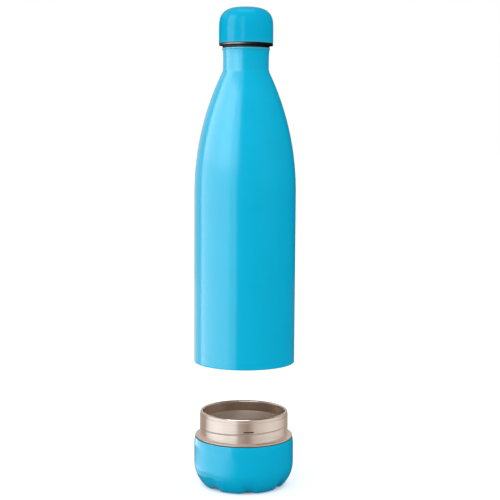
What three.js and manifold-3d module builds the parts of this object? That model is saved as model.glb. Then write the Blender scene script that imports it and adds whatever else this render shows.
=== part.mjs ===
// A water bottle with a hidden compartment: a slim vacuum bottle whose foot screws off.
// The foot holds a steel cup for valuables, and the bottle's skirt has a recess above it.
// Units are millimetres, +Z is up, the origin is on the floor under the middle of the foot.
// The bottle is drawn lifted off its foot, with the cap screwed on.

import * as THREE from 'three'
import { mergeVertices } from 'three/addons/utils/BufferGeometryUtils.js'
import Module from 'manifold-3d'

const wasm = await Module()
wasm.setup()

// Bottle, with heights counted from the edge of its skirt
const BODY_RADIUS = 38
const SHELL_WALL = 0.6
const SKIRT_EDGE_ROUND = 0.4
const SHOULDER_START = 128
const SHOULDER_RADIUS = 205
const NECK_RADIUS = 17
const NECK_FILLET = 9
const NECK_LENGTH = 13.3
const NECK_FLARE = 0.4
const FLARE_LENGTH = 5
const LIP_STEP = 0.8
const LIP_HEIGHT = 1.4

// Inner bottle, hung from the lip inside the vacuum
const VACUUM_GAP = 4
const NECK_GAP = 2.3
const LINER_WALL = 0.5
const FLOOR_VACUUM_GAP = 5.5
const FLOOR_HEIGHT = 5
const FLOOR_ROUND = 4
const FLOOR_LAP = 3

// Recess in the foot of the bottle, with the seal of the vacuum in its ceiling
const RECESS_STEP = 7.4
const RECESS_DEPTH = 44.4
const BULKHEAD_WALL = 0.6
const BULKHEAD_ROUND = 3.5
const DIMPLE_RADIUS = 4
const DIMPLE_DEPTH = 1.2
const PUMP_HOLE_RADIUS = 1.2
const SEAL_DROP_RADIUS = 2.6
const COVER_THICKNESS = 0.6
const GASKET_THICKNESS = 2.5

// Getter, which keeps the vacuum clean
const GETTER_RADIUS = 4
const GETTER_HEIGHT = 2
const GETTER_STEP = 14.6
const CLIP_WALL = 0.4
const CLIP_HEIGHT = 1.6

// Foot, with its radii counted inwards from the bottle's and from one another
const BASE_STEP = 0.2
const BASE_HEIGHT = 37
const BASE_WALL = 0.7
const BASE_DRAW_IN = 0.6
const BASE_DRAW_HEIGHT = 6
const BASE_CORNER_HEIGHT = 19
const FOOT_COUNT = 7
const FIRST_FOOT_ANGLE = -18
const FOOT_STEP = 7.9
const FOOT_WIDTH = 3.4
const FOOT_CURVE = 2.4
const FOOT_BLEND_START = 0
const FOOT_BLEND_END = 0.4
const VALLEY_STEP = 1.2
const VALLEY_HEIGHT = 1.3
const VALLEY_CURVE = 2.4
const DOME_HEIGHT = 3.4
const DOME_CURVE = 2.5
const EDGE_RING_THICKNESS = 0.6
const EDGE_RING_INSET = 0.05

// Threaded collar and cup in the foot
const COLLAR_STEP = 4.5
const COLLAR_WALL = 0.6
const COLLAR_HEIGHT = 20.3
const COLLAR_SPIGOT = 6
const LEDGE_HEIGHT = 1
const LEDGE_ROUND = 0.3
const LEDGE_FILLET = 0.4
const BEAD_HEIGHT = 2.9
const BEAD_INSET = 0.4
const CUP_STEP = 2.5
const CUP_WALL = 0.5
const CUP_FLOOR = 6
const CUP_ROUND = 5
const SUPPORT_STEP = 7
const SUPPORT_WIDTH = 12

// Two-start thread between the collar and the bottle
const THREAD_TURNS = 9
const THREAD_STARTS = 2
const THREAD_DROP = 10.7
const RIDGE_PROUD = 0.7
const RIDGE_BASE = 2.2
const RIDGE_CREST = 0.8
const RIDGE_FADE_STEPS = 4
const RIDGE_END_STEPS = 0.6
const COLLAR_RIDGE_SPAN = 198
const RING_RIDGE_SPAN = 180
const LIFT_TRAVEL = 57

// Cap and its stopper
const CAP_RADIUS = 20.1
const CAP_WALL = 0.6
const CAP_SIDE_HEIGHT = 10.3
const CAP_DOME_HEIGHT = 16.25
const CAP_DOME_POWER = 3.1
const CAP_CORE_WALL = 2
const FLANGE_THICKNESS = 1.4
const CAP_SEAL_INSET = 0.3
const CAP_SEAL_THICKNESS = 1.3
const STOPPER_STEP = 1.3
const STOPPER_WALL = 1.5
const STOPPER_LENGTH = 23.5
const STOPPER_CHAMFER = 0.8
const PLATE_STEP = 1
const PLATE_THICKNESS = 0.6

// Single-start thread between the stopper and the neck
const NECK_THREAD_LEAD = 4
const NECK_THREAD_TURN = 432
const NECK_THREAD_DROP = 8.5
const NECK_RIDGE_PROUD = 0.9
const NECK_RIDGE_BASE = 1.5
const NECK_RIDGE_CREST = 0.8

// Clearances between pieces
const SEAT_GAP = 0.3
const SKIRT_CLEARANCE = 0.4
const THREAD_CLEARANCE = 0.4
const LEDGE_CLEARANCE = 2.4
const SEAL_GAP = 0.2

// Fineness of the round forms
const FINE = 40
const COARSE = 30
const SMALL = 16
const LOBE_STEPS = 8
const SIDE_STEPS = 7
const INNER_SIDE_STEPS = 5
const FILLET_STEPS = 3
const CORNER_STEPS = 2
const BEAD_STEPS = 5
const DOME_STEPS = 6
const FOOT_WALL_STEPS = 6
const FOOT_FLOOR_STEPS = 3
const INNER_FOOT_WALL_STEPS = 4
const INNER_FOOT_FLOOR_STEPS = 1
const MERGE_DISTANCE = 1e-4

const PAINT = { color: 0x12a8d2, roughness: 0.45, metalness: 0.1 }
const STEEL = { color: 0xcdbfb4, roughness: 0.3, metalness: 1 }
const DULL_STEEL = { color: 0xa39a92, roughness: 0.5, metalness: 1 }
const BLACK_PLASTIC = { color: 0x15171a, roughness: 0.5, metalness: 0 }
const WHITE_PLASTIC = { color: 0xe6e4de, roughness: 0.6, metalness: 0 }
const BLACK_SILICONE = { color: 0x101214, roughness: 0.7, metalness: 0 }
const GREY_SILICONE = { color: 0x3a3d40, roughness: 0.7, metalness: 0 }
const FOAM = { color: 0xf0ece0, roughness: 0.95, metalness: 0 }
const GETTER_METAL = { color: 0x55514d, roughness: 0.8, metalness: 0.6 }

// Radii that follow from the sizes above
const skirtInner = BODY_RADIUS - SHELL_WALL
const recessRadius = BODY_RADIUS - RECESS_STEP
const coverRadius = recessRadius - BULKHEAD_ROUND
const getterPlace = recessRadius - GETTER_STEP
const baseRadius = BODY_RADIUS - BASE_STEP
const baseTopRadius = baseRadius - BASE_DRAW_IN
const footOuterRadius = baseRadius - FOOT_STEP
const footInnerRadius = footOuterRadius - FOOT_WIDTH
const valleyRadius = footOuterRadius - VALLEY_STEP
const collarRadius = BODY_RADIUS - COLLAR_STEP
const cupRadius = collarRadius - CUP_STEP
const supportRadius = cupRadius - SUPPORT_STEP
const linerRadius = BODY_RADIUS - VACUUM_GAP
const boreRadius = NECK_RADIUS - NECK_GAP - LINER_WALL
const stopperRadius = boreRadius - STOPPER_STEP
const plateRadius = stopperRadius - PLATE_STEP
const lipRadius = NECK_RADIUS + LIP_STEP
const capSealRadius = lipRadius - CAP_SEAL_INSET

// Heights that follow from the sizes above
const ledgeBottom = BASE_HEIGHT + EDGE_RING_THICKNESS
const ledgeTop = ledgeBottom + LEDGE_HEIGHT
const rimHeight = BASE_HEIGHT + COLLAR_HEIGHT
const collarTop = rimHeight - BEAD_HEIGHT
const closedHeight = ledgeBottom + SEAT_GAP
const restHeight = closedHeight + LIFT_TRAVEL
const rimInBottle = rimHeight - closedHeight
const gasketBottom = rimInBottle + SEAT_GAP
const flangeBottom = gasketBottom + GASKET_THICKNESS + SEAT_GAP
const ceilingTop = RECESS_DEPTH + BULKHEAD_WALL
const floorBottom = ceilingTop + FLOOR_VACUUM_GAP
const threadLead = LIFT_TRAVEL / THREAD_TURNS
const threadPitch = threadLead / THREAD_STARTS
const neckThreadClimb = (NECK_THREAD_LEAD * NECK_THREAD_TURN) / 360

const radians = THREE.MathUtils.degToRad

// Drops repeated points and empty triangles, and turns the faces outwards.
function closedGeometry(geometry) {
  geometry.deleteAttribute('normal')
  geometry.deleteAttribute('uv')
  const merged = mergeVertices(geometry, MERGE_DISTANCE)
  const index = merged.index.array
  const position = merged.attributes.position
  const kept = []
  let volume = 0
  const corners = [new THREE.Vector3(), new THREE.Vector3(), new THREE.Vector3()]
  for (let i = 0; i < index.length; i += 3) {
    const [a, b, c] = [index[i], index[i + 1], index[i + 2]]
    if (a === b || b === c || c === a) continue
    kept.push([a, b, c])
    corners[0].fromBufferAttribute(position, a)
    corners[1].fromBufferAttribute(position, b)
    corners[2].fromBufferAttribute(position, c)
    volume += corners[0].dot(corners[1].cross(corners[2]))
  }
  merged.setIndex(kept.flatMap(([a, b, c]) => (volume > 0 ? [a, b, c] : [a, c, b])))
  return merged
}

// A round solid from [radius, height] points that close on themselves or end on the axis.
function turned(points, segments) {
  const onAxis = points[0][0] === 0
  const loop = onAxis ? points : [...points, points[0]]
  const profile = loop.map(([r, z]) => new THREE.Vector2(r, z))
  const geometry = new THREE.LatheGeometry(profile, segments)
  geometry.rotateX(Math.PI / 2)
  return closedGeometry(geometry)
}

// Profile points on an arc about [r, z], with 0 degrees outwards and 90 degrees up.
function arc(r, z, radius, from, to, steps) {
  const points = []
  for (let i = 0; i <= steps; i++) {
    const angle = radians(from + ((to - from) * i) / steps)
    points.push([r + radius * Math.cos(angle), z + radius * Math.sin(angle)])
  }
  return points
}

function toManifold(geometry) {
  const vertProperties = new Float32Array(geometry.attributes.position.array)
  const triVerts = new Uint32Array(geometry.index.array)
  return new wasm.Manifold(new wasm.Mesh({ numProp: 3, vertProperties, triVerts }))
}

function fromManifold(manifold) {
  const mesh = manifold.getMesh()
  const geometry = new THREE.BufferGeometry()
  const positions = new Float32Array(mesh.numVert * 3)
  for (let i = 0; i < mesh.numVert; i++) {
    for (let k = 0; k < 3; k++) positions[3 * i + k] = mesh.vertProperties[mesh.numProp * i + k]
  }
  geometry.setAttribute('position', new THREE.BufferAttribute(positions, 3))
  geometry.setIndex([...mesh.triVerts])
  return geometry
}

function joined(geometry, additions) {
  let solid = toManifold(geometry)
  for (const addition of additions) solid = solid.add(toManifold(addition))
  return fromManifold(solid)
}

// A rolled thread ridge on a wall. It climbs with the angle, so it is right-handed.
// A positive rise stands out of the wall, a negative one stands into the bore.
function threadRidge({ wall, rise, root, base, crest, start, span, height, lead, segments }) {
  const steps = Math.round((span * segments) / 360)
  const positions = []
  for (let i = 0; i <= steps; i++) {
    const turn = (span * i) / steps
    const angle = radians(start + turn)
    const z = height + (lead * turn) / 360
    const fade = Math.min(1, (Math.min(i, steps - i) + RIDGE_END_STEPS) / RIDGE_FADE_STEPS)
    const section = [
      [wall - root, -base / 2],
      [wall + rise * fade, -crest / 2],
      [wall + rise * fade, crest / 2],
      [wall - root, base / 2],
    ]
    for (const [r, dz] of section) {
      positions.push(r * Math.cos(angle), r * Math.sin(angle), z + dz)
    }
  }
  const index = []
  for (let i = 0; i < steps; i++) {
    for (let k = 0; k < 4; k++) {
      const a = 4 * i + k
      const b = 4 * i + ((k + 1) % 4)
      index.push(a, b, a + 4, b, b + 4, a + 4)
    }
  }
  const last = 4 * steps
  index.push(0, 2, 1, 0, 3, 2)
  index.push(last, last + 1, last + 2, last, last + 2, last + 3)
  const geometry = new THREE.BufferGeometry()
  geometry.setAttribute('position', new THREE.Float32BufferAttribute(positions, 3))
  geometry.setIndex(index)
  return closedGeometry(geometry)
}

// The bottle's side from the top of its straight part: a long round shoulder, then a hollow
// curve into the neck.
function bottleSide(radius, shoulderRadius, neckRadius, fillet, sideSteps, filletSteps) {
  const shoulderCentre = radius - shoulderRadius
  const filletCentre = neckRadius + fillet
  const across = filletCentre - shoulderCentre
  const climb = Math.sqrt((shoulderRadius + fillet) ** 2 - across ** 2)
  const meet = THREE.MathUtils.radToDeg(Math.atan2(climb, across))
  const filletHeight = SHOULDER_START + climb
  return [
    ...arc(shoulderCentre, SHOULDER_START, shoulderRadius, 0, meet, sideSteps),
    ...arc(filletCentre, filletHeight, fillet, 180 + meet, 180, filletSteps).slice(1),
  ]
}

const outerSide = bottleSide(
  BODY_RADIUS, SHOULDER_RADIUS, NECK_RADIUS, NECK_FILLET, SIDE_STEPS, FILLET_STEPS)
const neckTop = outerSide.at(-1)[1] + NECK_LENGTH
const lipTop = neckTop + LIP_HEIGHT
const capSealBottom = lipTop + SEAL_GAP
const capFlangeBottom = capSealBottom + CAP_SEAL_THICKNESS + SEAL_GAP
const capFlangeTop = capFlangeBottom + FLANGE_THICKNESS
const capBottom = capFlangeTop + SEAL_GAP
const domeStart = capBottom + CAP_SIDE_HEIGHT
const stopperBottom = capFlangeBottom - STOPPER_LENGTH

// A rounded dome from its edge to the axis, squarer than a ball.
function domeProfile(radius, height) {
  const points = []
  for (let i = 0; i <= DOME_STEPS; i++) {
    const angle = (Math.PI / 2) * (i / DOME_STEPS)
    const r = i === DOME_STEPS ? 0 : radius * Math.cos(angle) ** (2 / CAP_DOME_POWER)
    points.push([r, domeStart + height * Math.sin(angle) ** (2 / CAP_DOME_POWER)])
  }
  return points
}

function capShell() {
  const inner = domeProfile(CAP_RADIUS - CAP_WALL, CAP_DOME_HEIGHT - CAP_WALL).reverse()
  return turned([
    ...inner,
    [CAP_RADIUS - CAP_WALL, capBottom],
    [CAP_RADIUS, capBottom],
    ...domeProfile(CAP_RADIUS, CAP_DOME_HEIGHT),
  ], FINE)
}

// The plastic cup that carries the cap's shell and closes the top of the stopper.
function capCore() {
  const outerInset = CAP_WALL + SEAT_GAP
  const innerInset = outerInset + CAP_CORE_WALL
  const bottom = capFlangeTop + SEAT_GAP
  return turned([
    ...domeProfile(CAP_RADIUS - innerInset, CAP_DOME_HEIGHT - innerInset).reverse(),
    [CAP_RADIUS - innerInset, bottom],
    [CAP_RADIUS - outerInset, bottom],
    ...domeProfile(CAP_RADIUS - outerInset, CAP_DOME_HEIGHT - outerInset),
  ], COARSE)
}

// The hollow plug with the black flange and the male thread.
function stopperBody() {
  const hollow = stopperRadius - STOPPER_WALL
  const plug = turned([
    [0, stopperBottom],
    [stopperRadius - STOPPER_CHAMFER, stopperBottom],
    [stopperRadius, stopperBottom + STOPPER_CHAMFER],
    [stopperRadius, capFlangeBottom],
    [CAP_RADIUS, capFlangeBottom],
    [CAP_RADIUS, capFlangeTop],
    [hollow, capFlangeTop],
    [hollow, stopperBottom + STOPPER_WALL],
    [0, stopperBottom + STOPPER_WALL],
  ], COARSE)
  const ridge = threadRidge({
    wall: stopperRadius,
    rise: STOPPER_STEP - SEAT_GAP,
    root: STOPPER_WALL / 2,
    base: NECK_RIDGE_BASE,
    crest: NECK_RIDGE_CREST,
    start: -NECK_THREAD_TURN,
    span: NECK_THREAD_TURN,
    height: lipTop - NECK_THREAD_DROP - NECK_THREAD_LEAD / 2 - neckThreadClimb,
    lead: NECK_THREAD_LEAD,
    segments: COARSE,
  })
  return joined(plug, [ridge])
}

function stopperFoam() {
  const radius = stopperRadius - STOPPER_WALL - SEAT_GAP
  const bottom = stopperBottom + STOPPER_WALL + SEAT_GAP
  return turned([[0, bottom], [radius, bottom], [radius, capFlangeTop], [0, capFlangeTop]], SMALL)
}

// The steel disc under the stopper, towards the drink.
function stopperPlate() {
  const top = stopperBottom - SEAL_GAP
  return turned([
    [0, top - PLATE_THICKNESS],
    [plateRadius - PLATE_THICKNESS / 2, top - PLATE_THICKNESS],
    [plateRadius, top - PLATE_THICKNESS / 2],
    [plateRadius, top],
    [0, top],
  ], COARSE)
}

function capSeal() {
  const inner = stopperRadius + THREAD_CLEARANCE
  const top = capSealBottom + CAP_SEAL_THICKNESS
  return turned([
    [inner, capSealBottom],
    [capSealRadius, capSealBottom],
    [capSealRadius, top],
    [inner, top],
  ], COARSE)
}

function bottleShell() {
  const innerSide = bottleSide(
    skirtInner, SHOULDER_RADIUS - SHELL_WALL, NECK_RADIUS - SHELL_WALL,
    NECK_FILLET + SHELL_WALL, INNER_SIDE_STEPS, CORNER_STEPS)
  const flareStart = neckTop - FLARE_LENGTH
  return turned([
    [skirtInner, 0],
    [BODY_RADIUS - SKIRT_EDGE_ROUND, 0],
    [BODY_RADIUS, SKIRT_EDGE_ROUND],
    ...outerSide,
    [NECK_RADIUS, flareStart],
    [NECK_RADIUS + NECK_FLARE, neckTop],
    [NECK_RADIUS + NECK_FLARE - SHELL_WALL, neckTop],
    [NECK_RADIUS - SHELL_WALL, flareStart],
    ...innerSide.reverse(),
  ], FINE)
}

const linerSide = bottleSide(
  linerRadius, SHOULDER_RADIUS - VACUUM_GAP, NECK_RADIUS - NECK_GAP, NECK_FILLET + VACUUM_GAP,
  INNER_SIDE_STEPS, CORNER_STEPS)
const neckSeam = linerSide.at(-1)[1]

// The inner bottle, drawn in to the neck that is welded on it.
function bottleLiner() {
  const inside = bottleSide(
    linerRadius - LINER_WALL, SHOULDER_RADIUS - VACUUM_GAP - LINER_WALL, boreRadius,
    NECK_FILLET + VACUUM_GAP + LINER_WALL, INNER_SIDE_STEPS, CORNER_STEPS)
  const bottom = floorBottom + FLOOR_HEIGHT - FLOOR_LAP
  return turned([
    [linerRadius - LINER_WALL, bottom],
    [linerRadius, bottom],
    ...linerSide,
    ...inside.reverse(),
  ], COARSE)
}

// The neck of the inner bottle, with its rolled lip and the thread rolled into it.
function linerNeck() {
  const neck = NECK_RADIUS - NECK_GAP
  const round = LINER_WALL
  const body = turned([
    [boreRadius, neckSeam],
    [neck, neckSeam],
    [neck, neckTop],
    [lipRadius, neckTop],
    [lipRadius, lipTop - round],
    [lipRadius - round, lipTop],
    [boreRadius + round, lipTop],
    [boreRadius, lipTop - round],
  ], COARSE)
  const ridge = threadRidge({
    wall: boreRadius,
    rise: -NECK_RIDGE_PROUD,
    root: -LINER_WALL / 2,
    base: NECK_RIDGE_BASE,
    crest: NECK_RIDGE_CREST,
    start: -NECK_THREAD_TURN,
    span: NECK_THREAD_TURN,
    height: lipTop - NECK_THREAD_DROP - neckThreadClimb,
    lead: NECK_THREAD_LEAD,
    segments: COARSE,
  })
  return joined(body, [ridge])
}

// The dished floor of the inner bottle, lapped inside its wall.
function linerFloor() {
  const radius = linerRadius - LINER_WALL - SEAT_GAP
  const top = floorBottom + FLOOR_HEIGHT
  const [r, z] = [radius - FLOOR_ROUND, floorBottom + FLOOR_ROUND]
  return turned([
    [0, floorBottom],
    ...arc(r, z, FLOOR_ROUND, -90, 0, FILLET_STEPS),
    [radius, top],
    [radius - LINER_WALL, top],
    ...arc(r, z, FLOOR_ROUND - LINER_WALL, 0, -90, FILLET_STEPS),
    [0, floorBottom + LINER_WALL],
  ], COARSE)
}

// The inverted cup that closes the vacuum and makes the recess, with a dimpled pump hole.
function vacuumBulkhead() {
  const rim = skirtInner - SEAT_GAP
  const wall = recessRadius + BULKHEAD_WALL
  const flangeTop = flangeBottom + BULKHEAD_WALL
  const dimple = RECESS_DEPTH + DIMPLE_DEPTH
  const [r, z] = [recessRadius - BULKHEAD_ROUND, RECESS_DEPTH - BULKHEAD_ROUND]
  return turned([
    [recessRadius, flangeBottom],
    [rim, flangeBottom],
    [rim, flangeTop],
    [wall, flangeTop],
    ...arc(r, z, BULKHEAD_ROUND + BULKHEAD_WALL, 0, 90, CORNER_STEPS),
    [DIMPLE_RADIUS + BULKHEAD_WALL, ceilingTop],
    [DIMPLE_RADIUS, dimple + BULKHEAD_WALL],
    [PUMP_HOLE_RADIUS, dimple + BULKHEAD_WALL],
    [PUMP_HOLE_RADIUS, dimple],
    [DIMPLE_RADIUS - BULKHEAD_WALL, dimple],
    [DIMPLE_RADIUS, RECESS_DEPTH],
    ...arc(r, z, BULKHEAD_ROUND, 90, 0, CORNER_STEPS),
  ], COARSE)
}

// The drop of solder that closes the pump hole after the air is out.
function vacuumSeal() {
  const bottom = RECESS_DEPTH + SEAL_GAP
  const top = RECESS_DEPTH + DIMPLE_DEPTH - SEAL_GAP
  return turned([[0, bottom], [SEAL_DROP_RADIUS, bottom], [SEAL_DROP_RADIUS, top], [0, top]], SMALL)
}

function getterClip() {
  const outer = GETTER_RADIUS + SEAL_GAP + CLIP_WALL
  const clip = turned([
    [0, 0],
    [outer, 0],
    [outer, CLIP_HEIGHT],
    [outer - CLIP_WALL, CLIP_HEIGHT],
    [outer - CLIP_WALL, CLIP_WALL],
    [0, CLIP_WALL],
  ], SMALL)
  clip.translate(getterPlace, 0, ceilingTop)
  return clip
}

function getterPill() {
  const [radius, height] = [GETTER_RADIUS, GETTER_HEIGHT]
  const pill = turned([[0, 0], [radius, 0], [radius, height], [0, height]], SMALL)
  pill.translate(getterPlace, 0, ceilingTop + CLIP_WALL)
  return pill
}

// A plate that hides the sealing spot in the ceiling of the recess.
function ceilingCover() {
  const top = RECESS_DEPTH - SEAL_GAP
  const round = COVER_THICKNESS / 2
  return turned([
    [0, top - COVER_THICKNESS],
    [coverRadius - round, top - COVER_THICKNESS],
    [coverRadius, top - round],
    [coverRadius, top],
    [0, top],
  ], COARSE)
}

// The female thread in the skirt. It is drawn as it stands when the bottle is screwed down.
function threadRing() {
  const root = collarRadius + RIDGE_PROUD + THREAD_CLEARANCE
  const outer = skirtInner - SKIRT_CLEARANCE
  const bottom = ledgeTop - closedHeight + LEDGE_CLEARANCE
  const leadIn = RIDGE_BASE / 2
  const ring = turned([
    [root + leadIn / 2, bottom],
    [outer, bottom],
    [outer, rimInBottle],
    [root, rimInBottle],
    [root, bottom + leadIn],
  ], FINE)
  const ridges = []
  for (let n = 0; n < THREAD_STARTS; n++) {
    ridges.push(threadRidge({
      wall: root,
      rise: -RIDGE_PROUD,
      root: -THREAD_CLEARANCE,
      base: RIDGE_BASE,
      crest: RIDGE_CREST,
      start: -180 + (360 / THREAD_STARTS) * n,
      span: RING_RIDGE_SPAN,
      height: rimInBottle - THREAD_DROP - threadPitch / 2 - threadLead / 4,
      lead: threadLead,
      segments: FINE,
    }))
  }
  return joined(ring, ridges)
}

function stashGasket() {
  const outer = skirtInner - SKIRT_CLEARANCE - SEAL_GAP
  const inner = recessRadius + SEAT_GAP
  const top = gasketBottom + GASKET_THICKNESS
  return turned([
    [inner, gasketBottom],
    [outer, gasketBottom],
    [outer, top],
    [inner, top],
  ], COARSE)
}

// How much of a foot, rather than a valley, a direction has: 1 over each foot, 0 between feet.
function footShare(angle) {
  const wave = 0.5 + 0.5 * Math.cos(FOOT_COUNT * angle)
  return THREE.MathUtils.smoothstep(wave, FOOT_BLEND_START, FOOT_BLEND_END)
}

// Points down one side of the foot's wall and in under it, inset by the wall for its inside.
function footMeridian(share, inset, cornerSteps, domeSteps) {
  const radius = baseRadius - inset
  const footDrop = radius - footOuterRadius
  const valleyDrop = radius - valleyRadius
  const footBottom = inset
  const valleyBottom = inset + VALLEY_HEIGHT
  const mix = (valley, foot) => THREE.MathUtils.lerp(valley, foot, share)
  const points = [[radius - BASE_DRAW_IN, BASE_HEIGHT], [radius, BASE_HEIGHT - BASE_DRAW_HEIGHT]]
  for (let i = 0; i <= cornerSteps; i++) {
    const t = i / cornerSteps
    points.push([
      radius - mix(valleyDrop * t ** VALLEY_CURVE, footDrop * t ** FOOT_CURVE),
      THREE.MathUtils.lerp(BASE_CORNER_HEIGHT, mix(valleyBottom, footBottom), t),
    ])
  }
  const domeTop = inset + DOME_HEIGHT
  for (let i = 0; i <= domeSteps; i++) {
    const t = 1 - i / domeSteps
    const z = THREE.MathUtils.lerp(domeTop, mix(valleyBottom, footBottom), t ** DOME_CURVE)
    points.push([footInnerRadius * t, z])
  }
  return points
}

function baseShell() {
  const segments = FOOT_COUNT * LOBE_STEPS
  const positions = []
  const index = []
  let rings = 0
  for (let s = 0; s < segments; s++) {
    const turn = (2 * Math.PI * s) / segments
    const share = footShare(turn)
    const outside = footMeridian(share, 0, FOOT_WALL_STEPS, FOOT_FLOOR_STEPS)
    const inside = footMeridian(
      share, BASE_WALL, INNER_FOOT_WALL_STEPS, INNER_FOOT_FLOOR_STEPS)
    const loop = [...outside, ...inside.reverse()]
    rings = loop.length
    const angle = radians(FIRST_FOOT_ANGLE - 90) + turn
    for (const [r, z] of loop) positions.push(r * Math.cos(angle), r * Math.sin(angle), z)
  }
  for (let s = 0; s < segments; s++) {
    const next = (s + 1) % segments
    for (let k = 0; k < rings; k++) {
      const up = (k + 1) % rings
      const [a, b] = [rings * s + k, rings * next + k]
      const [c, d] = [rings * s + up, rings * next + up]
      index.push(a, c, b, b, c, d)
    }
  }
  const geometry = new THREE.BufferGeometry()
  geometry.setAttribute('position', new THREE.Float32BufferAttribute(positions, 3))
  geometry.setIndex(index)
  return closedGeometry(geometry)
}

// The dark joint between the painted shell and the steel ledge.
function baseEdgeRing() {
  const inner = baseTopRadius - BASE_WALL + EDGE_RING_INSET
  const outer = baseTopRadius - EDGE_RING_INSET
  return turned([
    [inner, BASE_HEIGHT],
    [outer, BASE_HEIGHT],
    [outer, ledgeBottom],
    [inner, ledgeBottom],
  ], FINE)
}

// The steel collar: a spigot in the painted shell, a rounded ledge and the threaded wall.
function baseCollar() {
  const ledge = skirtInner - SKIRT_CLEARANCE
  const spigot = baseTopRadius - BASE_WALL - SKIRT_CLEARANCE
  const spigotInner = spigot - COLLAR_WALL
  const inner = collarRadius - COLLAR_WALL
  const under = ledgeTop - COLLAR_WALL
  const [fillet, underFillet] = [LEDGE_FILLET, LEDGE_FILLET + COLLAR_WALL]
  const body = turned([
    [spigotInner, ledgeBottom - COLLAR_SPIGOT],
    [spigot, ledgeBottom - COLLAR_SPIGOT],
    [spigot, ledgeBottom],
    [ledge, ledgeBottom],
    [ledge, ledgeTop - LEDGE_ROUND],
    [ledge - LEDGE_ROUND, ledgeTop],
    ...arc(collarRadius + fillet, ledgeTop + fillet, fillet, 270, 180, CORNER_STEPS),
    [collarRadius, collarTop],
    [inner, collarTop],
    ...arc(collarRadius + fillet, ledgeTop + fillet, underFillet, 180, 270, CORNER_STEPS),
    [spigotInner, under],
  ], FINE)
  const half = COLLAR_RIDGE_SPAN / 2
  const ridges = []
  for (let n = 0; n < THREAD_STARTS; n++) {
    ridges.push(threadRidge({
      wall: collarRadius,
      rise: RIDGE_PROUD,
      root: COLLAR_WALL / 2,
      base: RIDGE_BASE,
      crest: RIDGE_CREST,
      start: -90 - half + (360 / THREAD_STARTS) * n,
      span: COLLAR_RIDGE_SPAN,
      height: rimHeight - THREAD_DROP - (threadLead * half) / 360,
      lead: threadLead,
      segments: FINE,
    }))
  }
  return joined(body, ridges)
}

// The steel cup for valuables. Its curled rim caps the collar.
function stashCup() {
  const outer = cupRadius + CUP_WALL
  const bead = collarRadius - BEAD_INSET
  const curl = (bead - cupRadius) / 2
  const [r, z] = [cupRadius - CUP_ROUND, CUP_FLOOR + CUP_WALL + CUP_ROUND]
  return turned([
    [0, CUP_FLOOR],
    ...arc(r, z, CUP_ROUND + CUP_WALL, -90, 0, FILLET_STEPS),
    [outer, collarTop],
    [bead, collarTop],
    ...arc(cupRadius + curl, rimHeight - curl, curl, 0, 180, BEAD_STEPS),
    ...arc(r, z, CUP_ROUND, 0, -90, FILLET_STEPS),
    [0, CUP_FLOOR + CUP_WALL],
  ], COARSE)
}

// A plastic ring that carries the cup on the floor of the painted shell.
function cupSupport() {
  const bottom = BASE_WALL + DOME_HEIGHT + SEAT_GAP
  const top = CUP_FLOOR - SEAT_GAP
  return turned([
    [supportRadius - SUPPORT_WIDTH, bottom],
    [supportRadius, bottom],
    [supportRadius, top],
    [supportRadius - SUPPORT_WIDTH, top],
  ], COARSE)
}

function piece(name, geometry, look) {
  geometry.computeVertexNormals()
  const mesh = new THREE.Mesh(geometry, new THREE.MeshStandardMaterial(look))
  mesh.name = name
  return mesh
}

const group = new THREE.Group()

group.add(
  piece('base_shell', baseShell(), PAINT),
  piece('base_edge_ring', baseEdgeRing(), GREY_SILICONE),
  piece('base_collar', baseCollar(), STEEL),
  piece('stash_cup', stashCup(), STEEL),
  piece('cup_support', cupSupport(), BLACK_PLASTIC),
)

// The thread ring turns with the bottle while the bottle climbs along its thread.
const ring = piece('thread_ring', threadRing(), BLACK_PLASTIC)
ring.rotation.z = radians((THREAD_TURNS % 1) * 360)

const bottle = new THREE.Group()
bottle.position.z = restHeight
bottle.add(
  piece('bottle_shell', bottleShell(), PAINT),
  piece('bottle_liner', bottleLiner(), STEEL),
  piece('liner_neck', linerNeck(), STEEL),
  piece('liner_floor', linerFloor(), STEEL),
  piece('vacuum_bulkhead', vacuumBulkhead(), DULL_STEEL),
  piece('vacuum_seal', vacuumSeal(), GETTER_METAL),
  piece('getter_clip', getterClip(), DULL_STEEL),
  piece('getter_pill', getterPill(), GETTER_METAL),
  piece('ceiling_cover', ceilingCover(), DULL_STEEL),
  piece('stash_gasket', stashGasket(), GREY_SILICONE),
  ring,
  piece('cap_seal', capSeal(), BLACK_SILICONE),
  piece('stopper_body', stopperBody(), BLACK_PLASTIC),
  piece('stopper_foam', stopperFoam(), FOAM),
  piece('stopper_plate', stopperPlate(), STEEL),
  piece('cap_core', capCore(), WHITE_PLASTIC),
  piece('cap_shell', capShell(), PAINT),
)
group.add(bottle)

export default group
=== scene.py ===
"""A slim vacuum bottle lifted off its foot, which holds a steel cup for valuables.

Lengths in the profiles are millimetres, counted from the floor, and become metres in the meshes.
Angles go round +Z from +X, so the front of the object is at -90 degrees.
"""

import math

import bpy
from mathutils import Matrix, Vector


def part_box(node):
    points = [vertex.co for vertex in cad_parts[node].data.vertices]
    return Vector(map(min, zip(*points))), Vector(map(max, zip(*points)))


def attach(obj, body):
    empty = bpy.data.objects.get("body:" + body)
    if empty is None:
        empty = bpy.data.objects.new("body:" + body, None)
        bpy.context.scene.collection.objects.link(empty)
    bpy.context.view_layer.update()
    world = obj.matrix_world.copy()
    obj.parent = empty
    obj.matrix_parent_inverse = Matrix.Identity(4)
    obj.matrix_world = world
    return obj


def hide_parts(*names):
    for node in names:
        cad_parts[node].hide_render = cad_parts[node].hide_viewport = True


MM = 0.001

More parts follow.
